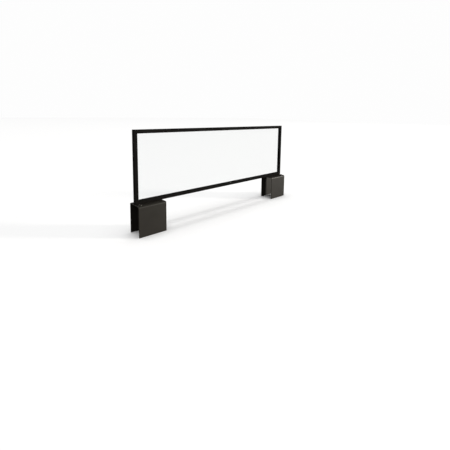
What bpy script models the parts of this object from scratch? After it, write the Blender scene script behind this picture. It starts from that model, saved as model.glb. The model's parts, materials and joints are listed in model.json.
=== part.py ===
"""Saddle-mounted panel frame.

A black frame of lipped channel holds a clear drop-in panel. A bent sheet saddle under each end
of the frame straddles the top edge of an upright panel. The model is in metres, +Z up, with its
front towards -Y. Its origin is under the middle of the frame, level with the saddles' lower edges.
"""

import math

import bmesh
import bpy
from mathutils import Matrix

# Clearances
GAP = 0.0003                    # between pieces that touch
MERGE = 0.00001                 # weld distance for caps and turned shapes
EDGE_BREAK = 0.0003             # rounding on the panel's and the saddles' edges

# Frame of channel
FRAME_WIDTH = 0.56515           # 22 1/4 in over the stiles
FRAME_HEIGHT = 0.18415          # 7 1/4 in over the rails
SECTION = 0.009525              # 3/8 in square channel
WALL = 0.0012
MOUTH = 0.0040                  # clear width between the lips
EDGE_RADIUS = 0.0009            # rolled outer edges of the channel
LIP_RADIUS = 0.0004
TOP_SLOT_LENGTH = 0.5600        # the panel drops in through the top rail

# Clear panel, 22 x 7 in
PANEL_WIDTH = 0.5588
PANEL_HEIGHT = 0.1778
PANEL_THICKNESS = 0.0030
PANEL_CORNER = 0.0015
PANEL_LIFT = 0.0043             # the panel's lower edge above the frame's underside

# Flat L keys inside the mitred corners, behind the back lips
KEY_THICKNESS = 0.0010
KEY_ARM = 0.0200

# Saddles of bent sheet
SADDLE_WIDTH = 0.0732
SADDLE_HEIGHT = 0.0778
SADDLE_GAP = 0.0460             # takes a 1 3/4 in (44.5 mm) panel with play
SHEET = 0.0019
BEND_RADIUS = 0.0019            # inside the bend

# Countersunk M3 screws and nuts that hold each saddle to the bottom rail
M3_RADIUS = 0.0015
M3_CLEARANCE = M3_RADIUS + GAP
M3_HEAD_RADIUS = 0.0028
M3_HEAD_HEIGHT = 0.0013
M3_LENGTH = 0.0060
M3_HEAD_SINK = 0.00015          # the head's face sits this far inside the web
M3_SOCKET_RADIUS = 0.00115
M3_SOCKET_DEPTH = 0.0009
M3_SPACING = 0.0220
NUT_FLATS = 0.0055
NUT_HEIGHT = 0.0024

# Pan-head wood screws through each saddle's web, one in front of the rail and one behind it
WOOD_SCREW_INSET = 0.0085       # from the saddle's outer end
WOOD_SCREW_OFFSET = 0.0150      # from the middle of the web
WOOD_HEAD_RADIUS = 0.0039
WOOD_HEAD_HEIGHT = 0.0027
WOOD_HEAD_RIM = 0.0011          # height of the head's straight side
WOOD_SHANK_RADIUS = 0.0019
WOOD_LENGTH = 0.0095
WOOD_TIP = 0.0028
RECESS_REACH = 0.0022           # cross recess, centre to tip of an arm
RECESS_WIDTH = 0.0008
RECESS_DEPTH = 0.0012

# Levels
WEB_TOP = SADDLE_HEIGHT
WEB_UNDER = WEB_TOP - SHEET
FRAME_BOTTOM = WEB_TOP + GAP
FRAME_TOP = FRAME_BOTTOM + FRAME_HEIGHT
FRAME_MIDDLE = FRAME_BOTTOM + FRAME_HEIGHT / 2
SADDLE_X = (FRAME_WIDTH - SADDLE_WIDTH) / 2

# Turned and rounded shapes
ARC_STEPS = 4
BEND_STEPS = 5
TURN_STEPS = 20

# Axis maps for flat outlines, which start in the XY plane with their thickness along Z
OUTLINE_ALONG_X = Matrix(((0, 0, 1, 0), (1, 0, 0, 0), (0, 1, 0, 0), (0, 0, 0, 1)))
OUTLINE_ALONG_Y = Matrix.Rotation(math.pi / 2, 4, "X")


def clear_scene():
    """Remove every object that the file starts with."""
    for obj in list(bpy.data.objects):
        bpy.data.objects.remove(obj, do_unlink=True)


def new_collection(name):
    collection = bpy.data.collections.new(name)
    bpy.context.scene.collection.children.link(collection)
    return collection


def new_material(name, colour, roughness, metallic=0.0, alpha=1.0):
    """A Principled material of one colour."""
    material = bpy.data.materials.new(name)
    material.use_nodes = True
    shader = material.node_tree.nodes["Principled BSDF"]
    shader.inputs["Base Color"].default_value = (*colour, 1.0)
    shader.inputs["Roughness"].default_value = roughness
    shader.inputs["Metallic"].default_value = metallic
    shader.inputs["Alpha"].default_value = alpha
    return material


def arc(centre, radius, start, end, steps=ARC_STEPS):
    """Points along an arc about a centre, from one angle in degrees to another."""
    points = []
    for step in range(steps + 1):
        angle = math.radians(start + (end - start) * step / steps)
        points.append((centre[0] + radius * math.cos(angle), centre[1] + radius * math.sin(angle)))
    return points


def circle(centre, radius, steps=TURN_STEPS):
    return arc(centre, radius, 0, 360, steps)[:-1]


def add_object(name, mesh, collection, material=None):
    obj = bpy.data.objects.new(name, mesh)
    collection.objects.link(obj)
    if material:
        obj.data.materials.append(material)
    return obj


def extruded(name, outlines, thickness, axes=None):
    """A closed mesh from flat outlines: the first is the outer edge, any others are holes."""
    curve = bpy.data.curves.new(name, "CURVE")
    curve.dimensions = "2D"
    curve.fill_mode = "BOTH"
    curve.extrude = thickness / 2
    for outline in outlines:
        spline = curve.splines.new("POLY")
        spline.points.add(len(outline) - 1)
        for point, (x, y) in zip(spline.points, outline):
            point.co = (x, y, 0.0, 1.0)
        spline.use_cyclic_u = True
    guide = bpy.data.objects.new(name, curve)
    bpy.context.scene.collection.objects.link(guide)
    bpy.context.view_layer.update()
    evaluated = guide.evaluated_get(bpy.context.evaluated_depsgraph_get())
    mesh = bpy.data.meshes.new_from_object(evaluated)
    bpy.data.objects.remove(guide, do_unlink=True)
    welded = bmesh.new()
    welded.from_mesh(mesh)
    bmesh.ops.remove_doubles(welded, verts=welded.verts, dist=MERGE)
    bmesh.ops.dissolve_limit(welded, angle_limit=math.radians(1), verts=welded.verts,
                             edges=welded.edges)
    bmesh.ops.recalc_face_normals(welded, faces=welded.faces)
    welded.to_mesh(mesh)
    welded.free()
    if axes:
        mesh.transform(axes)
    mesh.name = name
    return mesh


def turned(name, profile, collection, material=None):
    """A solid turned about Z from a profile of (radius, height) points, top to bottom."""
    mesh = bpy.data.meshes.new(name)
    points = [(radius, 0.0, height) for radius, height in profile]
    edges = [(index, index + 1) for index in range(len(points) - 1)]
    mesh.from_pydata(points, edges, [])
    obj = add_object(name, mesh, collection, material)
    screw = obj.modifiers.new("turn", "SCREW")
    screw.steps = TURN_STEPS
    screw.render_steps = TURN_STEPS
    screw.use_merge_vertices = True
    screw.merge_threshold = MERGE
    return obj


def box(name, size, collection):
    bm = bmesh.new()
    bmesh.ops.create_cube(bm, size=1.0, matrix=Matrix.Diagonal((*size, 1.0)))
    mesh = bpy.data.meshes.new(name)
    bm.to_mesh(mesh)
    bm.free()
    return add_object(name, mesh, collection)


def cylinder(name, radius, length, collection, sides=TURN_STEPS):
    """A cylinder about Z, centred on its own length."""
    bm = bmesh.new()
    bmesh.ops.create_cone(bm, cap_ends=True, segments=sides, radius1=radius, radius2=radius,
                          depth=length)
    mesh = bpy.data.meshes.new(name)
    bm.to_mesh(mesh)
    bm.free()
    return add_object(name, mesh, collection)


def cut(obj, cutter, location):
    """Cut one object, placed at a location, out of another."""
    cutter.location = location
    cutter.hide_render = True
    cutter.display_type = "WIRE"
    boolean = obj.modifiers.new(cutter.name, "BOOLEAN")
    boolean.operation = "DIFFERENCE"
    boolean.solver = "EXACT"
    boolean.object = cutter


def round_edges(obj):
    bevel = obj.modifiers.new("edges", "BEVEL")
    bevel.width = EDGE_BREAK
    bevel.segments = 2
    bevel.limit_method = "ANGLE"
    bevel.angle_limit = math.radians(50)


def smooth(obj):
    obj.data.shade_smooth()
    obj.data.set_sharp_from_angle(angle=math.radians(35))


def channel_outline():
    """Section of the lipped channel: outer face on y = 0, mouth towards +y."""
    half = SECTION / 2
    inner = half - WALL
    lip = MOUTH / 2
    right = []
    right += arc((half - EDGE_RADIUS, EDGE_RADIUS), EDGE_RADIUS, -90, 0)
    right += arc((half - EDGE_RADIUS, SECTION - EDGE_RADIUS), EDGE_RADIUS, 0, 90)
    right += arc((lip + LIP_RADIUS, SECTION - LIP_RADIUS), LIP_RADIUS, 90, 180, 2)
    right += [(lip, SECTION - WALL), (inner, SECTION - WALL), (inner, WALL)]
    left = [(-x, y) for x, y in reversed(right)]
    return right + left


def make_rail(name, length, location, turn, axis, collection, material):
    """One mitred length of channel; turned about an axis so that its mouth faces inwards."""
    mesh = extruded(name, [channel_outline()], length, OUTLINE_ALONG_X)
    setback = GAP / math.sqrt(2)
    for vertex in mesh.vertices:
        vertex.co.x -= math.copysign(vertex.co.z + setback, vertex.co.x)
    rail = add_object(name, mesh, collection, material)
    rail.location = location
    rail.rotation_euler = Matrix.Rotation(turn, 3, axis).to_euler()
    smooth(rail)
    return rail


def make_frame(parts, cutters, material):
    """Four mitred lengths of channel, with the drop-in slot and the screw holes."""
    half_width = FRAME_WIDTH / 2
    bottom = make_rail("bottom_rail", FRAME_WIDTH, (0, 0, FRAME_BOTTOM), 0, "X", parts, material)
    top = make_rail("top_rail", FRAME_WIDTH, (0, 0, FRAME_TOP), math.pi, "Y", parts, material)
    make_rail("left_stile", FRAME_HEIGHT, (-half_width, 0, FRAME_MIDDLE), math.pi / 2, "Y",
              parts, material)
    make_rail("right_stile", FRAME_HEIGHT, (half_width, 0, FRAME_MIDDLE), -math.pi / 2, "Y",
              parts, material)
    slot = box("top_slot", (TOP_SLOT_LENGTH, MOUTH, 4 * WALL), cutters)
    cut(top, slot, (0, 0, FRAME_TOP))
    for place, x in screw_places():
        hole = cylinder("rail_hole_" + place, M3_CLEARANCE, 4 * WALL, cutters)
        cut(bottom, hole, (x, 0, FRAME_BOTTOM))


def screw_places():
    """Names and X positions of the screws that hold the saddles to the bottom rail."""
    places = []
    for side, sign in (("left", -1), ("right", 1)):
        places.append((side + "_outer", sign * (SADDLE_X + M3_SPACING / 2)))
        places.append((side + "_inner", sign * (SADDLE_X - M3_SPACING / 2)))
    return places


def wood_screw_places():
    """Names and XY positions of the screws that fasten the saddles down."""
    x = FRAME_WIDTH / 2 - WOOD_SCREW_INSET
    places = []
    for side, sign in (("left", -1), ("right", 1)):
        places.append((side + "_front", sign * x, -WOOD_SCREW_OFFSET))
        places.append((side + "_back", sign * x, WOOD_SCREW_OFFSET))
    return places


def make_corner_keys(parts, material):
    """Flat L plates that line up the mitres, inside the channel and behind its back lip."""
    near = WALL + GAP
    far = SECTION - WALL - GAP
    end = near + KEY_ARM
    outline = [(near, near), (end, near), (end, far), (far, far), (far, end), (near, end)]
    y = SECTION / 2 - WALL - GAP - KEY_THICKNESS / 2
    for vertical, z, flip_z in (("bottom", FRAME_BOTTOM, 1), ("top", FRAME_TOP, -1)):
        for side, flip_x in (("left", 1), ("right", -1)):
            name = "corner_key_" + vertical + "_" + side
            corner = [(flip_x * u, flip_z * v) for u, v in outline]
            mesh = extruded(name, [corner], KEY_THICKNESS, OUTLINE_ALONG_Y)
            key = add_object(name, mesh, parts, material)
            key.location = (-flip_x * FRAME_WIDTH / 2, y, z)


def make_panel(parts, material):
    """The clear panel; it lifts straight out through the top rail."""
    half_width = PANEL_WIDTH / 2 - PANEL_CORNER
    half_height = PANEL_HEIGHT / 2 - PANEL_CORNER
    outline = []
    for x, y, start in ((1, 1, 0), (-1, 1, 90), (-1, -1, 180), (1, -1, 270)):
        outline += arc((x * half_width, y * half_height), PANEL_CORNER, start, start + 90, 3)
    mesh = extruded("clear_panel", [outline], PANEL_THICKNESS, OUTLINE_ALONG_Y)
    panel = add_object("clear_panel", mesh, parts, material)
    panel.location = (0, 0, FRAME_BOTTOM + PANEL_LIFT + PANEL_HEIGHT / 2)
    round_edges(panel)


def saddle_outline():
    """Section of a saddle: an inverted U of bent sheet, standing on y = 0."""
    outer = SADDLE_GAP / 2 + SHEET
    inner = SADDLE_GAP / 2
    bend = outer - BEND_RADIUS - SHEET
    height = SADDLE_HEIGHT - BEND_RADIUS - SHEET
    right = [(outer, 0.0)]
    right += arc((bend, height), BEND_RADIUS + SHEET, 0, 90, BEND_STEPS)
    left = [(-x, y) for x, y in reversed(right)]
    inside_left = [(-inner, 0.0)]
    inside_left += arc((-bend, height), BEND_RADIUS, 180, 90, BEND_STEPS)
    inside_right = [(-x, y) for x, y in reversed(inside_left)]
    return right + left + inside_left + inside_right


def make_saddles(parts, cutters, material):
    """Two alike saddles, flush with the frame's ends."""
    for side, sign in (("left", -1), ("right", 1)):
        name = side + "_saddle"
        mesh = extruded(name, [saddle_outline()], SADDLE_WIDTH, OUTLINE_ALONG_X)
        saddle = add_object(name, mesh, parts, material)
        saddle.location = (sign * SADDLE_X, 0, 0)
        smooth(saddle)
        round_edges(saddle)
        for place, x in screw_places():
            if place.startswith(side):
                hole = turned("web_hole_" + place, countersink_profile(), cutters)
                cut(saddle, hole, (x, 0, WEB_UNDER + M3_HEAD_SINK))
        for place, x, y in wood_screw_places():
            if place.startswith(side):
                radius = WOOD_SHANK_RADIUS + GAP
                hole = cylinder("web_hole_" + place, radius, 2 * SHEET, cutters)
                cut(saddle, hole, (x, y, WEB_TOP - SHEET / 2))


def countersink_profile():
    """Profile of a countersunk hole, measured up from the plane of the screw head's face."""
    slope = (M3_HEAD_RADIUS - M3_RADIUS) / M3_HEAD_HEIGHT
    face_radius = M3_HEAD_RADIUS + GAP * math.sqrt(2)
    neck = (face_radius - M3_CLEARANCE) / slope
    return [
        (0.0, 2 * SHEET),
        (M3_CLEARANCE, 2 * SHEET),
        (M3_CLEARANCE, neck),
        (face_radius + slope * SHEET, -SHEET),
        (0.0, -SHEET),
    ]


def make_frame_screws(parts, cutters, screw_material, nut_material):
    """Flush screws from under each web, with nuts on the floor of the bottom rail."""
    face = WEB_UNDER + M3_HEAD_SINK
    profile = [
        (0.0, M3_LENGTH),
        (M3_RADIUS - GAP / 2, M3_LENGTH),
        (M3_RADIUS, M3_LENGTH - GAP / 2),
        (M3_RADIUS, M3_HEAD_HEIGHT),
        (M3_HEAD_RADIUS, GAP / 2),
        (M3_HEAD_RADIUS, 0.0),
        (0.0, 0.0),
    ]
    flats = NUT_FLATS / 2 / math.cos(math.pi / 6)
    hexagon = arc((0, 0), flats, 0, 360, 6)[:-1]
    for place, x in screw_places():
        screw = turned("frame_screw_" + place, profile, parts, screw_material)
        screw.location = (x, 0, face)
        socket = cylinder("socket_" + place, M3_SOCKET_RADIUS, 2 * M3_SOCKET_DEPTH, cutters, 6)
        cut(screw, socket, (x, 0, face))
        smooth(screw)
        name = "frame_nut_" + place
        mesh = extruded(name, [hexagon, circle((0, 0), M3_CLEARANCE, 16)], NUT_HEIGHT)
        nut = add_object(name, mesh, parts, nut_material)
        nut.location = (x, 0, FRAME_BOTTOM + WALL + GAP + NUT_HEIGHT / 2)


def make_wood_screws(parts, cutters, material):
    """Pan-head screws that fasten each saddle down to what it straddles."""
    dome = []
    for step in range(ARC_STEPS + 1):
        angle = math.pi / 2 * (1 - step / ARC_STEPS)
        rise = (WOOD_HEAD_HEIGHT - WOOD_HEAD_RIM) * math.sin(angle)
        dome.append((WOOD_HEAD_RADIUS * math.cos(angle), WOOD_HEAD_RIM + rise))
    dome[0] = (0.0, WOOD_HEAD_HEIGHT)
    profile = dome + [
        (WOOD_HEAD_RADIUS, 0.0),
        (WOOD_SHANK_RADIUS, 0.0),
        (WOOD_SHANK_RADIUS, WOOD_TIP - WOOD_LENGTH),
        (0.0, -WOOD_LENGTH),
    ]
    under_head = WEB_TOP + GAP
    for place, x, y in wood_screw_places():
        screw = turned("wood_screw_" + place, profile, parts, material)
        screw.location = (x, y, under_head)
        level = under_head + WOOD_HEAD_HEIGHT
        for arm, size in (("long", (2 * RECESS_REACH, RECESS_WIDTH)),
                          ("cross", (RECESS_WIDTH, 2 * RECESS_REACH))):
            recess = box("recess_" + arm + "_" + place, (*size, 2 * RECESS_DEPTH), cutters)
            cut(screw, recess, (x, y, level))
        smooth(screw)


def main():
    clear_scene()
    parts = new_collection("saddle_panel_frame")
    cutters = new_collection("cutters")
    frame_black = new_material("frame_black", (0.012, 0.012, 0.011), 0.42)
    saddle_black = new_material("saddle_black", (0.038, 0.035, 0.030), 0.50)
    screw_black = new_material("screw_black", (0.040, 0.040, 0.038), 0.38, 1.0)
    zinc = new_material("zinc", (0.55, 0.56, 0.55), 0.35, 1.0)
    clear = new_material("clear_acrylic", (0.93, 0.96, 0.96), 0.04, 0.0, 0.15)
    make_frame(parts, cutters, frame_black)
    make_corner_keys(parts, zinc)
    make_panel(parts, clear)
    make_saddles(parts, cutters, saddle_black)
    make_frame_screws(parts, cutters, screw_black, zinc)
    make_wood_screws(parts, cutters, screw_black)


main()
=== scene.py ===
"""Looks of the saddle-mounted panel frame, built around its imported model.

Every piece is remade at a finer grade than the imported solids: roll-formed channel with rounded
bends and tight mitres, folded sheet saddles with eased edges, screws and nuts with real threads,
and a clear sheet with polished edges. Metres, +Z up, front towards -Y.
"""

import json
import math

import bmesh
import bpy
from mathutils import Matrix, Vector


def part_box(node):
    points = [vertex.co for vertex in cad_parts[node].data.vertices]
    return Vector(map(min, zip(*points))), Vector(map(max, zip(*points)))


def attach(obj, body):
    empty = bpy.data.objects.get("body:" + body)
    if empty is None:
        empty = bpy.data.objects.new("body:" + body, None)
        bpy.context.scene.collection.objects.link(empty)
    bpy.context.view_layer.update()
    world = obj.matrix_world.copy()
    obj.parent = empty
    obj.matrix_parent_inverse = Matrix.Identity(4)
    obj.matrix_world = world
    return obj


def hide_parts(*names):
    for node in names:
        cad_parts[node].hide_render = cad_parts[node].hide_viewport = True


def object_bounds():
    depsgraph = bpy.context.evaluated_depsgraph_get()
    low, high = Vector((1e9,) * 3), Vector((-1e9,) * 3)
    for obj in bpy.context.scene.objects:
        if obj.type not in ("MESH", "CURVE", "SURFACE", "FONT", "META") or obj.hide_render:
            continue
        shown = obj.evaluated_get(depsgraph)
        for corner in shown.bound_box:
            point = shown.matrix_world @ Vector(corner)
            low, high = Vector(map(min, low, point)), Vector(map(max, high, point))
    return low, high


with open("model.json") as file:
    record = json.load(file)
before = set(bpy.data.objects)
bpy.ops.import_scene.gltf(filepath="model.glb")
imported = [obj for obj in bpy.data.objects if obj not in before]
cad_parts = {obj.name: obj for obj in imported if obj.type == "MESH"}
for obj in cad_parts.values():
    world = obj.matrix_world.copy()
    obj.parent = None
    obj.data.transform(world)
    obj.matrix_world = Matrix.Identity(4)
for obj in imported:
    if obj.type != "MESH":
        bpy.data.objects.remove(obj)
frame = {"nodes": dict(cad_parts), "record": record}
cad_low, cad_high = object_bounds()

# Camera, at the photograph's viewing angle
CAMERA_PLACE = (-0.57782, -0.67896, 0.30705)
CAMERA_TURN_DEG = (83.7122, -1.1198, -44.6893)
CAMERA_LENS_MM = 23.192
CAMERA_SENSOR_MM = 36.0
CAMERA_SHIFT = (-0.045, -0.178)
CAMERA_CLIP = (0.01, 100.0)

# Studio
FLOOR_DROP = 0.0002             # the floor lies just under the saddles' feet
FLOOR_REACH = 12.0
FLOOR_SEEN = 0.80               # the floor's tone as the camera sees it
FLOOR_BOUNCE = 0.06             # what the floor gives back to the object
FLOOR_WASH = 3.3                # light that falls on the floor alone
FLOOR_WASH_ANGLE_DEG = 50.0
BACKDROP_SEEN = 0.985           # the backdrop's tone as the camera sees it
AMBIENT = 0.13                  # what the backdrop gives the object
KEY_AZIMUTH_DEG = 45.5          # from straight in front, towards the right
KEY_HEIGHT_DEG = 9.0
KEY_DISTANCE = 12.0             # from the right saddle
KEY_SIZE = 1.5
KEY_POWER = 1180.0
KEY_TINT = (1.0, 0.965, 0.91)
FILL_PLACE = (-1.60, -1.10, 1.90)
FILL_SIZE = 1.6
FILL_POWER = 5.0
BACK_PLACE = (-1.10, 1.70, 1.10)
BACK_SIZE = 1.0
BACK_POWER = 14.0

# Channel
WALL = 0.0012
MOUTH = 0.0040
EDGE_RADIUS = 0.0009
INSIDE_RADIUS = 0.0003
LIP_RADIUS = 0.0004
EDGE_STEPS = 8
LIP_STEPS = 5
INSIDE_STEPS = 4
MITRE_GAP = 0.00003
CUT_EASE = 0.00014              # rounding left by deburring and paint on cut edges
SLOT_MARGIN = 0.0006            # the drop-in slot's room beyond each end of the panel
SLOT_CORNER = 0.0008
SLOT_STEPS = 5
HOLE_PLAY = 0.0003

# Saddles
SADDLE_EASE = 0.0003
SADDLE_CORNER = 0.0008
SADDLE_CORNER_SEGMENTS = 5
BEND_INSIDE = 0.0019
BEND_STEPS = 11

# Fasteners
SIDES = 36
M3_RADIUS = 0.0015
M3_CORE = 0.00122
M3_PITCH = 0.0005
M3_HEAD_HEIGHT = 0.0013
M3_SOCKET_FLATS = 0.0020
M3_SOCKET_DEPTH = 0.0010
M3_LAND = 0.06                  # the thread crest's half share of the pitch
M3_STEPS = 8                    # rings in each turn of the thread
NUT_FLATS = 0.0055
NUT_CHAMFER = 0.00035
THREAD_PLAY = 0.00004
WOOD_CREST = 0.0019
WOOD_CORE = 0.00125
WOOD_PITCH = 0.0014
WOOD_HEAD_HEIGHT = 0.0027
WOOD_HEAD_RIM = 0.0010
WOOD_POINT = 0.0028
WOOD_POINT_RADIUS = 0.00003
WOOD_LAND = 0.03
WOOD_STEPS = 12
WOOD_HEAD_BANDS = 14
WOOD_HEAD_DOME = 2.6            # how square the head's dome is
WOOD_TURN_DEG = {"front": 25, "back": 70}
RECESS_REACH = 0.0023
RECESS_WIDTH = 0.0009
RECESS_DEPTH = 0.0014

# Corner keys
KEY_CORNER = 0.0012
KEY_CORNER_STEPS = 4
KEY_EASE = 0.00012

# Clear panel
PANEL_CORNER = 0.0015
PANEL_CORNER_STEPS = 6
PANEL_EASE = 0.0003
PANEL_FACE_LIMIT = 0.99         # a face turned less than this to the front is an edge
ACRYLIC_MIRROR = 0.039          # share that each face mirrors head on

# Powder coats
FRAME_COAT = {
    "deep": (0.0120, 0.0111, 0.0104),
    "light": (0.0185, 0.0172, 0.0162),
    "worn": (0.060, 0.056, 0.051),
    "roughness": 0.50,
    "peel_depth": 0.000020,
    "gloss": 0.01,
}
SADDLE_COAT = {
    "deep": (0.0365, 0.0325, 0.0262),
    "light": (0.0450, 0.0402, 0.0330),
    "worn": (0.110, 0.103, 0.092),
    "roughness": 0.42,
    "peel_depth": 0.000030,
    "gloss": 0.40,
}

BODY_OF = {}
for body_name, members in frame["record"]["behaviour"]["bodies"].items():
    for member in members:
        BODY_OF[member] = body_name

MOUNT = {}
for mount in frame["record"]["mounts"]:
    MOUNT[mount["name"]] = Vector(mount["pos_m"])


# ---------------------------------------------------------------------------
# Mesh helpers
# ---------------------------------------------------------------------------

def arc(centre, radius, start, end, steps):
    """Points along an arc about a centre, from one angle in degrees to another."""
    points = []
    for step in range(steps + 1):
        angle = math.radians(start + (end - start) * step / steps)
        points.append((centre[0] + radius * math.cos(angle), centre[1] + radius * math.sin(angle)))
    return points


def rounded_box_outline(half_width, half_height, radius, steps):
    outline = []
    for x, y, start in ((1, 1, 0), (-1, 1, 90), (-1, -1, 180), (1, -1, 270)):
        centre = (x * (half_width - radius), y * (half_height - radius))
        outline += arc(centre, radius, start, start + 90, steps)
    return outline


def prism(sections):
    """A closed bmesh through rings of points that have the same count; its ends are flat caps."""
    bm = bmesh.new()
    rings = [[bm.verts.new(point) for point in section] for section in sections]
    count = len(rings[0])
    for near, far in zip(rings, rings[1:]):
        for index in range(count):
            after = (index + 1) % count
            bm.faces.new((near[index], near[after], far[after], far[index]))
    bm.faces.new(rings[0])
    bm.faces.new(rings[-1])
    bmesh.ops.recalc_face_normals(bm, faces=bm.faces)
    return bm


def add_mesh(name, bm):
    """A new object in the scene from a bmesh, which is used up."""
    mesh = bpy.data.meshes.new(name)
    bm.to_mesh(mesh)
    bm.free()
    obj = bpy.data.objects.new(name, mesh)
    bpy.context.scene.collection.objects.link(obj)
    return obj


def ease_edges(obj, width, segments, angle_deg):
    bevel = obj.modifiers.new("ease", "BEVEL")
    bevel.width = width
    bevel.segments = segments
    bevel.limit_method = "ANGLE"
    bevel.angle_limit = math.radians(angle_deg)


def drill(obj, cutters):
    """Take the cutters out of an object; they are removed by settle()."""
    for cutter in cutters:
        boolean = obj.modifiers.new(cutter.name, "BOOLEAN")
        boolean.operation = "DIFFERENCE"
        boolean.solver = "EXACT"
        boolean.object = cutter


def settle(obj):
    """Give an object its evaluated mesh for good, and remove its cutters."""
    bpy.context.view_layer.update()
    cutters = [m.object for m in obj.modifiers if m.type == "BOOLEAN"]
    evaluated = obj.evaluated_get(bpy.context.evaluated_depsgraph_get())
    mesh = bpy.data.meshes.new_from_object(evaluated)
    mesh.name = obj.name
    obj.modifiers.clear()
    obj.data = mesh
    for cutter in cutters:
        bpy.data.objects.remove(cutter, do_unlink=True)
    return obj


def shade(obj, angle_deg=35):
    """Smooth shading that keeps the large faces flat right up to their rounded edges."""
    obj.data.shade_smooth()
    obj.data.set_sharp_from_angle(angle=math.radians(angle_deg))
    weighted = obj.modifiers.new("weighted", "WEIGHTED_NORMAL")
    weighted.keep_sharp = True
    settle(obj)


def stand_for(piece, node, material, slot):
    """Finish a piece: its material, its body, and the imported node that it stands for."""
    piece.data.materials.clear()
    piece.data.materials.append(material)
    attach(piece, BODY_OF[node])
    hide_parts(node)
    return piece


# ---------------------------------------------------------------------------
# Turned shapes: rings round the Z axis, each a function from an angle to (radius, height)
# ---------------------------------------------------------------------------

def circle(radius, height):
    return lambda angle: (radius, height)


def hexagon(flats, height, limit=None):
    """A hexagonal ring, which a round limit may cut back at its corners."""
    def ring(angle):
        sixth = math.pi / 3
        from_flat = (angle + sixth / 2) % sixth - sixth / 2
        radius = flats / 2 / math.cos(from_flat)
        if limit:
            radius = min(radius, limit)
        return radius, height
    return ring


def thread_radius(angle, height, core, crest, pitch, land):
    """Radius of a helical thread's surface; land is the crest's half share of the pitch."""
    phase = (height / pitch - angle / (2 * math.pi)) % 1.0
    from_crest = abs(phase - 0.5)
    ridge = 1.0 - (from_crest - land) / (0.5 - land)
    return core + (crest - core) * max(0.0, min(1.0, ridge))


def turned(rings, closed=False):
    """A closed bmesh through rings from top to bottom; one whose radius is 0 is a point."""
    bm = bmesh.new()
    loops = []
    for ring in rings:
        if ring(0.0)[0] == 0.0:
            loops.append([bm.verts.new((0.0, 0.0, ring(0.0)[1]))])
            continue
        loop = []
        for side in range(SIDES):
            angle = 2 * math.pi * side / SIDES
            radius, height = ring(angle)
            loop.append(bm.verts.new((radius * math.cos(angle), radius * math.sin(angle), height)))
        loops.append(loop)
    pairs = list(zip(loops, loops[1:]))
    if closed:
        pairs.append((loops[-1], loops[0]))
    for upper, lower in pairs:
        for side in range(SIDES):
            after = (side + 1) % SIDES
            corners = [upper[side % len(upper)], upper[after % len(upper)],
                       lower[after % len(lower)], lower[side % len(lower)]]
            bm.faces.new(list(dict.fromkeys(corners)))
    bmesh.ops.recalc_face_normals(bm, faces=bm.faces)
    return bm


def turned_cutter(name, profile, place):
    """A cutter from (radius, height) points, top to bottom, at a place."""
    cutter = add_mesh(name, turned([circle(radius, height) for radius, height in profile]))
    cutter.location = place
    return cutter


# ---------------------------------------------------------------------------
# Materials
# ---------------------------------------------------------------------------

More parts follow.
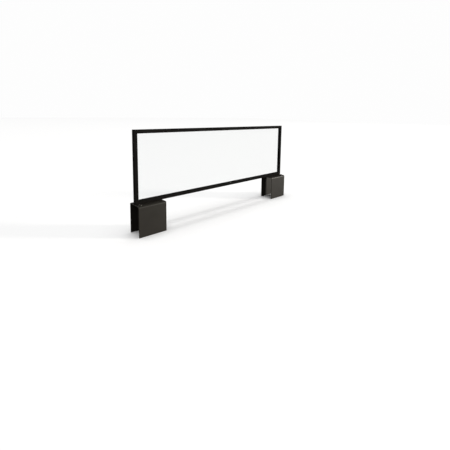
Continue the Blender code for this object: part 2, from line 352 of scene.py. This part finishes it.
class Nodes:
    """Short calls for building a material's node tree."""

    def __init__(self, name):
        self.material = bpy.data.materials.new(name)
        self.material.use_nodes = True
        self.tree = self.material.node_tree
        self.tree.nodes.clear()
        self.output = self.tree.nodes.new("ShaderNodeOutputMaterial")
        self.place = self.tree.nodes.new("ShaderNodeTexCoord").outputs["Object"]

    def node(self, kind, **settings):
        node = self.tree.nodes.new(kind)
        for name, value in settings.items():
            setattr(node, name, value)
        return node

    def feed(self, socket, value):
        """Link a socket to another's output, or set it to a plain value."""
        if isinstance(value, bpy.types.NodeSocket):
            self.tree.links.new(value, socket)
        else:
            socket.default_value = value

    def noise(self, size, detail=2.0, roughness=0.5, stretch=(1, 1, 1)):
        """Noise from 0 to 1 whose lumps are about the given size, in metres."""
        mapping = self.node("ShaderNodeMapping")
        self.feed(mapping.inputs["Vector"], self.place)
        mapping.inputs["Scale"].default_value = stretch
        noise = self.node("ShaderNodeTexNoise")
        self.feed(noise.inputs["Vector"], mapping.outputs["Vector"])
        noise.inputs["Scale"].default_value = 0.5 / size
        noise.inputs["Detail"].default_value = detail
        noise.inputs["Roughness"].default_value = roughness
        return noise.outputs["Fac"]

    def cells(self, size):
        """Distance from the middle of the nearest cell, for cells of about the given size."""
        voronoi = self.node("ShaderNodeTexVoronoi")
        self.feed(voronoi.inputs["Vector"], self.place)
        voronoi.inputs["Scale"].default_value = 1.0 / size
        return voronoi.outputs["Distance"]

    def ranged(self, value, low, high, to_low, to_high):
        """Map a value from one range to another, kept inside it."""
        ranged = self.node("ShaderNodeMapRange", interpolation_type="SMOOTHSTEP")
        self.feed(ranged.inputs["Value"], value)
        for name, number in (("From Min", low), ("From Max", high),
                             ("To Min", to_low), ("To Max", to_high)):
            ranged.inputs[name].default_value = number
        return ranged.outputs["Result"]

    def maths(self, operation, first, second):
        maths = self.node("ShaderNodeMath", operation=operation)
        self.feed(maths.inputs[0], first)
        self.feed(maths.inputs[1], second)
        return maths.outputs["Value"]

    def blend(self, share, first, second):
        """A colour between two, by a share from 0 to 1."""
        mix = self.node("ShaderNodeMix", data_type="RGBA")
        self.feed(mix.inputs["Factor"], share)
        for socket, colour in ((mix.inputs["A"], first), (mix.inputs["B"], second)):
            self.feed(socket, colour if isinstance(colour, bpy.types.NodeSocket) else (*colour, 1))
        return mix.outputs["Result"]

    def edges(self, radius):
        """About 1 along outer and inner edges, and 0 on flat faces."""
        bevel = self.node("ShaderNodeBevel", samples=6)
        bevel.inputs["Radius"].default_value = radius
        flat = self.node("ShaderNodeNewGeometry").outputs["Normal"]
        dot = self.node("ShaderNodeVectorMath", operation="DOT_PRODUCT")
        self.feed(dot.inputs[0], bevel.outputs["Normal"])
        self.feed(dot.inputs[1], flat)
        return self.ranged(dot.outputs["Value"], 0.995, 0.80, 0.0, 1.0)

    def bump(self, height, depth, under=None):
        bump = self.node("ShaderNodeBump")
        bump.inputs["Distance"].default_value = depth
        self.feed(bump.inputs["Height"], height)
        if under:
            self.feed(bump.inputs["Normal"], under)
        return bump.outputs["Normal"]

    def principled(self, colour, roughness, normal, plain):
        """A Principled shader; plain gives the sockets that are the same all over."""
        shader = self.node("ShaderNodeBsdfPrincipled")
        self.feed(shader.inputs["Base Color"], colour)
        self.feed(shader.inputs["Roughness"], roughness)
        self.feed(shader.inputs["Normal"], normal)
        for name, value in plain.items():
            shader.inputs[name].default_value = value
        return shader

    def show(self, shader):
        self.feed(self.output.inputs["Surface"], shader.outputs[0])
        return self.material


def powder_coat(name, deep, light, worn, roughness, peel_depth, gloss):
    """Black powder coat: fine orange peel, uneven flow, a matt speckle and rubbed edges."""
    nodes = Nodes(name)
    flow = nodes.noise(0.030, detail=4.0, roughness=0.6)
    speckle = nodes.noise(0.00035, detail=2.0, roughness=0.7)
    peel = nodes.noise(0.0013, detail=2.0, roughness=0.45)
    pits = nodes.cells(0.0009)
    patches = nodes.noise(0.0050, detail=5.0, roughness=0.75)
    tone = nodes.ranged(nodes.maths("ADD", flow, nodes.maths("MULTIPLY", speckle, 0.6)),
                        0.55, 1.05, 0.0, 1.0)
    colour = nodes.blend(tone, deep, light)
    rubbed = nodes.maths("MULTIPLY", nodes.edges(0.0006),
                         nodes.ranged(patches, 0.47, 0.66, 0.0, 0.55))
    colour = nodes.blend(rubbed, colour, worn)
    rough = nodes.ranged(nodes.maths("ADD", nodes.maths("MULTIPLY", patches, 0.5), speckle),
                         0.45, 1.05, roughness - 0.07, roughness + 0.10)
    rough = nodes.maths("SUBTRACT", rough, nodes.maths("MULTIPLY", rubbed, 0.15))
    normal = nodes.bump(pits, peel_depth * 0.4)
    normal = nodes.bump(peel, peel_depth, under=normal)
    normal = nodes.bump(speckle, peel_depth * 0.10, under=normal)
    return nodes.show(nodes.principled(colour, rough, normal, {"Specular IOR Level": gloss}))


def black_oxide(name):
    """Blackened steel: metal under a thin dark film, browner and brighter where it is rubbed."""
    nodes = Nodes(name)
    film = nodes.noise(0.0012, detail=4.0, roughness=0.65)
    tooling = nodes.noise(0.00025, detail=2.0, stretch=(1, 1, 6))
    colour = nodes.blend(nodes.ranged(film, 0.35, 0.70, 0.0, 1.0),
                         (0.085, 0.080, 0.073), (0.190, 0.175, 0.155))
    rubbed = nodes.maths("MULTIPLY", nodes.edges(0.0002),
                         nodes.ranged(film, 0.40, 0.62, 0.1, 0.8))
    colour = nodes.blend(rubbed, colour, (0.42, 0.40, 0.37))
    rough = nodes.ranged(nodes.maths("ADD", film, tooling), 0.7, 1.3, 0.28, 0.50)
    normal = nodes.bump(tooling, 0.000012)
    return nodes.show(nodes.principled(colour, rough, normal, {"Metallic": 1.0}))


def zinc_plate(name):
    """Zinc plating with its faint straw and blue tints and a rolled grain."""
    nodes = Nodes(name)
    tint = nodes.noise(0.0040, detail=3.0, roughness=0.6)
    grain = nodes.noise(0.0003, detail=3.0, roughness=0.6, stretch=(0.08, 1, 1))
    spangle = nodes.cells(0.0016)
    colour = nodes.blend(nodes.ranged(tint, 0.35, 0.65, 0.0, 1.0),
                         (0.52, 0.55, 0.60), (0.62, 0.59, 0.50))
    colour = nodes.blend(nodes.ranged(spangle, 0.2, 0.9, 0.0, 0.35), colour, (0.42, 0.43, 0.44))
    rough = nodes.ranged(nodes.maths("ADD", grain, tint), 0.7, 1.3, 0.26, 0.46)
    normal = nodes.bump(grain, 0.000010)
    return nodes.show(nodes.principled(colour, rough, normal, {"Metallic": 1.0}))


def clear_face(name):
    """The faces of clear acrylic: see-through, under a thin, faintly hazed gloss."""
    nodes = Nodes(name)
    smudge = nodes.noise(0.035, detail=5.0, roughness=0.7)
    hairlines = nodes.noise(0.0005, detail=3.0, roughness=0.8, stretch=(0.02, 1, 1))
    rough = nodes.ranged(smudge, 0.45, 0.75, 0.015, 0.10)
    normal = nodes.bump(hairlines, 0.000002)
    gloss = nodes.node("ShaderNodeBsdfAnisotropic")
    gloss.inputs["Color"].default_value = (1, 1, 1, 1)
    nodes.feed(gloss.inputs["Roughness"], rough)
    nodes.feed(gloss.inputs["Normal"], normal)
    through = nodes.node("ShaderNodeBsdfTransparent")
    nodes.feed(through.inputs["Color"], nodes.blend(smudge, (0.994, 0.997, 0.997),
                                                    (0.985, 0.991, 0.990)))
    facing = nodes.node("ShaderNodeLayerWeight").outputs["Facing"]
    grazing = nodes.maths("POWER", facing, 5.0)
    mirrored = nodes.maths("MULTIPLY", grazing, 1 - ACRYLIC_MIRROR)
    mirrored = nodes.maths("ADD", mirrored, ACRYLIC_MIRROR)
    mix = nodes.node("ShaderNodeMixShader")
    nodes.feed(mix.inputs[0], mirrored)
    nodes.feed(mix.inputs[1], through.outputs[0])
    nodes.feed(mix.inputs[2], gloss.outputs[0])
    return nodes.show(mix)


def clear_edge(name):
    """The flame-polished edges of clear acrylic, which look pale and faintly green."""
    nodes = Nodes(name)
    saw = nodes.noise(0.0006, detail=3.0, stretch=(1, 0.15, 1))
    glow = nodes.noise(0.020, detail=2.0)
    colour = nodes.blend(nodes.ranged(glow, 0.35, 0.65, 0.0, 1.0),
                         (0.70, 0.80, 0.79), (0.86, 0.92, 0.91))
    rough = nodes.ranged(saw, 0.3, 0.7, 0.06, 0.22)
    normal = nodes.bump(saw, 0.000012)
    return nodes.show(nodes.principled(colour, rough, normal, {"IOR": 1.49, "Alpha": 0.55}))


# ---------------------------------------------------------------------------
# Frame
# ---------------------------------------------------------------------------

def channel_outline(section):
    """Section of the lipped channel as (across, depth), from its outer face to its mouth."""
    half = section / 2
    inner = half - WALL
    lip = MOUTH / 2
    right = []
    right += arc((half - EDGE_RADIUS, EDGE_RADIUS), EDGE_RADIUS, -90, 0, EDGE_STEPS)
    right += arc((half - EDGE_RADIUS, section - EDGE_RADIUS), EDGE_RADIUS, 0, 90, EDGE_STEPS)
    right += arc((lip + LIP_RADIUS, section - LIP_RADIUS), LIP_RADIUS, 90, 180, LIP_STEPS)
    right += [(lip, section - WALL)]
    corner = inner - INSIDE_RADIUS
    right += arc((corner, section - WALL - INSIDE_RADIUS), INSIDE_RADIUS, 90, 0, INSIDE_STEPS)
    right += arc((corner, WALL + INSIDE_RADIUS), INSIDE_RADIUS, 0, -90, INSIDE_STEPS)
    left = [(-across, depth) for across, depth in reversed(right)]
    return right + left


def channel(name, start, along, inward, length, section):
    """A length of channel along the frame's outer edge, mitred at both ends."""
    across = Vector((0, 1, 0))
    sections = []
    for at_end in (False, True):
        points = []
        for offset, depth in channel_outline(section):
            trim = depth + MITRE_GAP
            distance = length - trim if at_end else trim
            points.append(start + along * distance + inward * depth + across * offset)
        sections.append(points)
    return add_mesh(name, prism(sections))


def slot_cutter(name, panel_low, panel_high, level):
    """Cutter for the drop-in slot, with small round corners."""
    half_width = (panel_high.x - panel_low.x) / 2 + SLOT_MARGIN
    outline = rounded_box_outline(half_width, MOUTH / 2, SLOT_CORNER, SLOT_STEPS)
    sections = [[(x, y, z) for x, y in outline] for z in (level - 2 * WALL, level + 2 * WALL)]
    return add_mesh(name, prism(sections))


def make_frame(material):
    bottom_low, bottom_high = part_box("bottom_rail")
    section = bottom_high.z - bottom_low.z
    low_x, high_x = cad_low.x, cad_high.x
    low_z, high_z = bottom_low.z, cad_high.z
    width = high_x - low_x
    height = high_z - low_z
    right, up = Vector((1, 0, 0)), Vector((0, 0, 1))
    places = (
        ("bottom_rail", (low_x, low_z), right, up, width),
        ("top_rail", (low_x, high_z), right, -up, width),
        ("left_stile", (low_x, low_z), up, right, height),
        ("right_stile", (high_x, low_z), up, -right, height),
    )
    for node, (x, z), along, inward, length in places:
        piece = channel(node + "_channel", Vector((x, 0, z)), along, inward, length, section)
        cutters = []
        if node == "top_rail":
            cutters.append(slot_cutter("slot", *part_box("clear_panel"), high_z))
        if node == "bottom_rail":
            for screw in frame["nodes"]:
                if screw.startswith("frame_screw"):
                    low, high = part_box(screw)
                    radius = M3_RADIUS + HOLE_PLAY
                    profile = ((0, 2 * WALL), (radius, 2 * WALL), (radius, -WALL), (0, -WALL))
                    place = ((low.x + high.x) / 2, 0, low_z)
                    cutters.append(turned_cutter("hole_" + screw, profile, place))
        drill(piece, cutters)
        ease_edges(piece, CUT_EASE, segments=2, angle_deg=40)
        settle(piece)
        shade(piece)
        stand_for(piece, node, material, "frame_black")


def make_corner_keys(material):
    """Stamped L keys with eased corners."""
    for node in frame["nodes"]:
        if not node.startswith("corner_key"):
            continue
        low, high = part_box(node)
        flip_x = 1 if node.endswith("left") else -1
        flip_z = 1 if "bottom" in node else -1
        start = Vector((low.x if flip_x > 0 else high.x, 0, low.z if flip_z > 0 else high.z))
        arm = high.x - low.x
        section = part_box("bottom_rail")[1].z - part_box("bottom_rail")[0].z
        width = section - 2 * WALL - 2 * HOLE_PLAY
        near, tip, side = KEY_CORNER, arm - KEY_CORNER, width - KEY_CORNER
        crook = width + KEY_CORNER / 2
        outline = []
        for centre, radius, first, last in (
            ((near, near), KEY_CORNER, 180, 270),
            ((tip, near), KEY_CORNER, 270, 360),
            ((tip, side), KEY_CORNER, 0, 90),
            ((crook, crook), KEY_CORNER / 2, 270, 180),
            ((side, tip), KEY_CORNER, 0, 90),
            ((near, tip), KEY_CORNER, 90, 180),
        ):
            outline += arc(centre, radius, first, last, KEY_CORNER_STEPS)
        sections = []
        for y in (low.y, high.y):
            sections.append([(start.x + flip_x * u, y, start.z + flip_z * v) for u, v in outline])
        piece = add_mesh(node + "_stamped", prism(sections))
        ease_edges(piece, KEY_EASE, segments=2, angle_deg=60)
        settle(piece)
        shade(piece)
        stand_for(piece, node, material, "zinc")


# ---------------------------------------------------------------------------
# Saddles
# ---------------------------------------------------------------------------

def saddle_outline(low, high, sheet):
    """Section of a saddle as (y, z): an inverted U of bent sheet."""
    outer = high.y
    inner = outer - sheet
    bend = inner - BEND_INSIDE
    level = high.z - sheet - BEND_INSIDE
    right = [(outer, low.z)]
    right += arc((bend, level), BEND_INSIDE + sheet, 0, 90, BEND_STEPS)
    left = [(-y, z) for y, z in reversed(right)]
    inside_left = [(-inner, low.z)]
    inside_left += arc((-bend, level), BEND_INSIDE, 180, 90, BEND_STEPS)
    inside_right = [(-y, z) for y, z in reversed(inside_left)]
    return right + left + inside_left + inside_right


def round_plate_corners(bm, low):
    """Round the four lower corners of the saddle's two plates."""
    corners = []
    for edge in bm.edges:
        first, second = (vertex.co for vertex in edge.verts)
        at_foot = max(first.z, second.z) < low.z + WALL
        if at_foot and abs(first.x - second.x) < WALL / 10:
            corners.append(edge)
    bmesh.ops.bevel(bm, geom=corners, offset=SADDLE_CORNER, segments=SADDLE_CORNER_SEGMENTS,
                    profile=0.5, affect="EDGES", clamp_overlap=True)


def make_saddles(material):
    for side in ("left", "right"):
        node = side + "_saddle"
        low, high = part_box(node)
        sheet = high.z - MOUNT[node + "_seat"].z
        outline = saddle_outline(low, high, sheet)
        sections = [[(x, y, z) for y, z in outline] for x in (low.x, high.x)]
        bm = prism(sections)
        round_plate_corners(bm, low)
        piece = add_mesh(node + "_folded", bm)
        ease_edges(piece, SADDLE_EASE, segments=3, angle_deg=50)
        cutters = []
        for screw in frame["nodes"]:
            if screw.startswith("frame_screw_" + side):
                cutters.append(countersink_cutter(screw, sheet))
            if screw.startswith("wood_screw_" + side):
                cutters.append(clearance_cutter(screw, high.z, sheet))
        drill(piece, cutters)
        settle(piece)
        shade(piece)
        stand_for(piece, node, material, "saddle_black")


def countersink_cutter(screw, sheet):
    low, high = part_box(screw)
    head_radius = (high.x - low.x) / 2
    slope = (head_radius - M3_RADIUS) / M3_HEAD_HEIGHT
    mouth = head_radius + HOLE_PLAY * math.sqrt(2)
    bore = M3_RADIUS + HOLE_PLAY
    neck = (mouth - bore) / slope
    profile = (
        (0, 2 * sheet),
        (bore, 2 * sheet),
        (bore, neck),
        (mouth + slope * sheet, -sheet),
        (0, -sheet),
    )
    place = ((low.x + high.x) / 2, (low.y + high.y) / 2, low.z)
    return turned_cutter("countersink_" + screw, profile, place)


def clearance_cutter(screw, top, sheet):
    """A plain hole with a light deburring chamfer at both faces."""
    low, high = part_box(screw)
    bore = WOOD_CREST + HOLE_PLAY
    chamfer = SADDLE_EASE / 2
    profile = (
        (0, sheet / 2 + 4 * chamfer),
        (bore + 5 * chamfer, sheet / 2 + 4 * chamfer),
        (bore, sheet / 2 - chamfer),
        (bore, chamfer - sheet / 2),
        (bore + 5 * chamfer, -sheet / 2 - 4 * chamfer),
        (0, -sheet / 2 - 4 * chamfer),
    )
    place = ((low.x + high.x) / 2, (low.y + high.y) / 2, top - sheet / 2)
    return turned_cutter("clearance_" + screw, profile, place)


# ---------------------------------------------------------------------------
# Fasteners
# ---------------------------------------------------------------------------

def m3_thread(angle, height, play=0.0):
    crest = M3_RADIUS - THREAD_PLAY / 2
    return thread_radius(angle, height, M3_CORE, crest, M3_PITCH, M3_LAND) + play


def m3_ring(height, share):
    """A ring of the screw's thread, drawn in towards the core by a share from 0 to 1."""
    def ring(angle):
        radius = m3_thread(angle, height)
        return M3_CORE + (radius - M3_CORE) * share, height
    return ring


def frame_screw(low, high):
    """A countersunk socket screw standing on its head: the face is down and the tip is up."""
    length = high.z - low.z
    head = (high.x - low.x) / 2
    rim = head / 25
    socket = M3_SOCKET_FLATS
    rings = [circle(0, length), circle(M3_CORE * 0.9, length), circle(M3_CORE, length - rim)]
    start = M3_HEAD_HEIGHT + M3_PITCH
    end = length - 2 * rim
    steps = round((end - start) / M3_PITCH * M3_STEPS)
    for step in range(steps + 1):
        height = end - (end - start) * step / steps
        from_tip = (length - height) / M3_PITCH
        from_neck = (height - start) / M3_PITCH
        rings.append(m3_ring(height, min(1.0, from_tip / 1.2, 0.2 + from_neck / 1.0)))
    rings += [
        circle(M3_CORE, M3_HEAD_HEIGHT + M3_PITCH / 2),
        circle(M3_RADIUS, M3_HEAD_HEIGHT),
        circle(head, rim * 2),
        circle(head, rim),
        circle(head - rim, 0.0),
        hexagon(socket * 1.10, 0.0),
        hexagon(socket, socket * 0.06),
        hexagon(socket * 0.99, M3_SOCKET_DEPTH),
        circle(0, M3_SOCKET_DEPTH + socket * 0.15),
    ]
    return turned(rings)


def frame_nut(height, screw_phase):
    """A hexagon nut with chamfered corners, threaded to run on its screw."""
    corner = NUT_FLATS / math.sqrt(3)
    flat_limit = corner - NUT_CHAMFER * math.sqrt(3)
    bore = M3_RADIUS + THREAD_PLAY * 3
    rings = [
        hexagon(NUT_FLATS, height / 2, flat_limit),
        hexagon(NUT_FLATS, height / 2 - NUT_CHAMFER),
        hexagon(NUT_FLATS, NUT_CHAMFER - height / 2),
        hexagon(NUT_FLATS, -height / 2, flat_limit),
        circle(bore * 1.06, -height / 2),
    ]
    steps = round(height / M3_PITCH * M3_STEPS)
    for step in range(1, steps):
        z = height * (step / steps - 0.5)
        rings.append(nut_thread_ring(z, screw_phase, bore))
    rings.append(circle(bore * 1.06, height / 2))
    return turned(rings, closed=True)


def nut_thread_ring(z, screw_phase, bore):
    def ring(angle):
        return min(bore, m3_thread(angle, z + screw_phase, 2 * THREAD_PLAY)), z
    return ring


def wood_screw(low, high):
    """A pan-head screw: cross recess, straight rim, coarse thread and a sharp point."""
    length = high.z - low.z - WOOD_HEAD_HEIGHT
    head = (high.x - low.x) / 2
    rings = [head_ring(head, band / WOOD_HEAD_BANDS) for band in range(WOOD_HEAD_BANDS + 1)]
    rings += [
        circle(head, WOOD_HEAD_RIM / 3),
        circle(head * 0.98, 0.0),
        circle(WOOD_CORE * 1.25, 0.0),
        circle(WOOD_CORE, -WOOD_CORE * 0.5),
    ]
    start = WOOD_CORE * 0.6
    steps = round((length - start) / WOOD_PITCH * WOOD_STEPS)
    for step in range(steps):
        rings.append(wood_thread_ring(-(start + (length - start) * step / steps), length))
    rings.append(circle(0, -length))
    return turned(rings)


def wood_thread_ring(height, length):
    """Core and thread both taper to the point."""
    from_point = min(1.0, (length + height) / WOOD_POINT)
    grown = min(1.0, -height / WOOD_PITCH)
    core = WOOD_CORE * from_point
    crest = core + (WOOD_CREST - WOOD_CORE) * grown * math.sqrt(from_point)

    def ring(angle):
        radius = thread_radius(angle, height, core, crest, WOOD_PITCH, WOOD_LAND)
        return radius + WOOD_POINT_RADIUS, height
    return ring


def head_ring(head, share):
    """A ring of the domed head, a share of the way from its middle to its rim."""
    radius = head * share

    def ring(angle):
        rise = WOOD_HEAD_HEIGHT - WOOD_HEAD_RIM
        height = WOOD_HEAD_RIM + rise * math.sqrt(max(0.0, 1 - share ** WOOD_HEAD_DOME))
        x, y = abs(radius * math.cos(angle)), abs(radius * math.sin(angle))
        outside = min(cross_arm(x, y), cross_arm(y, x))
        sunk = max(0.0, min(1.0, -outside / (RECESS_WIDTH * 0.22)))
        taper = 1.0 - 0.35 * radius / RECESS_REACH
        return radius, height - RECESS_DEPTH * max(0.0, taper) * sunk
    return ring


def cross_arm(along, across):
    """Distance outside one arm of the cross recess, negative within it."""
    return max(along - RECESS_REACH, across - RECESS_WIDTH / 2)


def make_fasteners(oxide, zinc):
    for node in list(frame["nodes"]):
        low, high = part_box(node)
        middle = (low + high) / 2
        if node.startswith("frame_screw"):
            piece = add_mesh(node + "_threaded", frame_screw(low, high))
            piece.location = (middle.x, middle.y, low.z)
            finish = (oxide, "screw_black")
        elif node.startswith("frame_nut"):
            screw_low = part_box(node.replace("nut", "screw"))[0]
            piece = add_mesh(node + "_tapped", frame_nut(high.z - low.z, middle.z - screw_low.z))
            piece.location = middle
            finish = (zinc, "zinc")
        elif node.startswith("wood_screw"):
            piece = add_mesh(node + "_threaded", wood_screw(low, high))
            piece.location = (middle.x, middle.y, high.z - WOOD_HEAD_HEIGHT)
            piece.rotation_euler.z = math.radians(WOOD_TURN_DEG[node.rsplit("_", 1)[1]])
            finish = (oxide, "screw_black")
        else:
            continue
        shade(piece, angle_deg=40)
        stand_for(piece, node, *finish)


# ---------------------------------------------------------------------------
# Clear panel
# ---------------------------------------------------------------------------

def make_panel(face, edge):
    low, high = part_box("clear_panel")
    middle = (low + high) / 2
    half = (high - low) / 2
    outline = rounded_box_outline(half.x, half.z, PANEL_CORNER, PANEL_CORNER_STEPS)
    sections = [[(middle.x + x, y, middle.z + z) for x, z in outline] for y in (low.y, high.y)]
    piece = add_mesh("clear_panel_sheet", prism(sections))
    ease_edges(piece, PANEL_EASE, segments=3, angle_deg=50)
    settle(piece)
    shade(piece)
    stand_for(piece, "clear_panel", face, "clear_acrylic")
    piece.data.materials.append(edge)
    for polygon in piece.data.polygons:
        polygon.material_index = 0 if abs(polygon.normal.y) > PANEL_FACE_LIMIT else 1


# ---------------------------------------------------------------------------
# Studio
# ---------------------------------------------------------------------------

def seen_or_bounced(tree):
    """1 for what the camera sees directly and 0 for light that bounces."""
    return tree.nodes.new("ShaderNodeLightPath").outputs["Is Camera Ray"]


def make_floor():
    bm = bmesh.new()
    bmesh.ops.create_grid(bm, x_segments=1, y_segments=1, size=FLOOR_REACH)
    floor = add_mesh("floor", bm)
    floor.location.z = cad_low.z - FLOOR_DROP
    nodes = Nodes("floor_white")
    seen = nodes.node("ShaderNodeBsdfDiffuse")
    seen.inputs["Color"].default_value = (FLOOR_SEEN, FLOOR_SEEN, FLOOR_SEEN, 1)
    bounced = nodes.node("ShaderNodeBsdfDiffuse")
    bounced.inputs["Color"].default_value = (FLOOR_BOUNCE, FLOOR_BOUNCE, FLOOR_BOUNCE, 1)
    mix = nodes.node("ShaderNodeMixShader")
    nodes.feed(mix.inputs[0], seen_or_bounced(nodes.tree))
    nodes.feed(mix.inputs[1], bounced.outputs[0])
    nodes.feed(mix.inputs[2], seen.outputs[0])
    floor.data.materials.append(nodes.show(mix))
    return floor


def make_backdrop():
    world = bpy.data.worlds.new("studio")
    bpy.context.scene.world = world
    world.use_nodes = True
    background = world.node_tree.nodes["Background"]
    background.inputs["Color"].default_value = (1, 1, 1, 1)
    strength = world.node_tree.nodes.new("ShaderNodeMapRange")
    strength.inputs["To Min"].default_value = AMBIENT
    strength.inputs["To Max"].default_value = BACKDROP_SEEN
    links = world.node_tree.links
    links.new(seen_or_bounced(world.node_tree), strength.inputs["Value"])
    links.new(strength.outputs["Result"], background.inputs["Strength"])
    bpy.context.scene.view_settings.view_transform = "Standard"


def add_light(name, kind, place, aim, power):
    light = bpy.data.lights.new(name, kind)
    light.energy = power
    lamp = bpy.data.objects.new(name, light)
    bpy.context.scene.collection.objects.link(lamp)
    lamp.location = place
    lamp.rotation_euler = (Vector(aim) - Vector(place)).to_track_quat("-Z", "Y").to_euler()
    return lamp


def soft_light(name, place, aim, size, power):
    lamp = add_light(name, "AREA", place, aim, power)
    lamp.data.shape = "DISK"
    lamp.data.size = size
    return lamp


def link_light(lamp, floor, state):
    """Light the floor alone, or everything but the floor."""
    linked = bpy.data.collections.new(lamp.name + "_linked")
    linked.objects.link(floor)
    lamp.light_linking.receiver_collection = linked
    linked.collection_objects[0].light_linking.link_state = state


def make_lights(floor):
    right_saddle = sum(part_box("right_saddle"), Vector()) / 2
    middle = (cad_low + cad_high) / 2
    azimuth = math.radians(KEY_AZIMUTH_DEG)
    height = math.radians(KEY_HEIGHT_DEG)
    towards_key = Vector((math.sin(azimuth) * math.cos(height),
                          -math.cos(azimuth) * math.cos(height), math.sin(height)))
    key_place = right_saddle + towards_key * KEY_DISTANCE
    key = soft_light("key", key_place, right_saddle, KEY_SIZE, KEY_POWER)
    key.data.color = KEY_TINT
    fill = soft_light("fill", FILL_PLACE, middle, FILL_SIZE, FILL_POWER)
    back = soft_light("back", BACK_PLACE, middle, BACK_SIZE, BACK_POWER)
    wash = add_light("floor_wash", "SUN", (0, 0, 2), (0, 0, 0), FLOOR_WASH)
    wash.data.angle = math.radians(FLOOR_WASH_ANGLE_DEG)
    link_light(wash, floor, "INCLUDE")
    link_light(fill, floor, "EXCLUDE")
    link_light(back, floor, "EXCLUDE")


def make_camera():
    data = bpy.data.cameras.new("camera")
    data.lens = CAMERA_LENS_MM
    data.sensor_width = CAMERA_SENSOR_MM
    data.shift_x, data.shift_y = CAMERA_SHIFT
    data.clip_start, data.clip_end = CAMERA_CLIP
    camera = bpy.data.objects.new("camera", data)
    bpy.context.scene.collection.objects.link(camera)
    camera.location = CAMERA_PLACE
    camera.rotation_euler = [math.radians(angle) for angle in CAMERA_TURN_DEG]
    bpy.context.scene.camera = camera


make_camera()
make_backdrop()
make_lights(make_floor())
frame_black = powder_coat("frame_black_coat", **FRAME_COAT)
saddle_black = powder_coat("saddle_black_coat", **SADDLE_COAT)
oxide_black = black_oxide("screw_black_oxide")
zinc = zinc_plate("zinc_plating")
make_frame(frame_black)
make_corner_keys(zinc)
make_saddles(saddle_black)
make_fasteners(oxide_black, zinc)
make_panel(clear_face("clear_acrylic_face"), clear_edge("clear_acrylic_edge"))
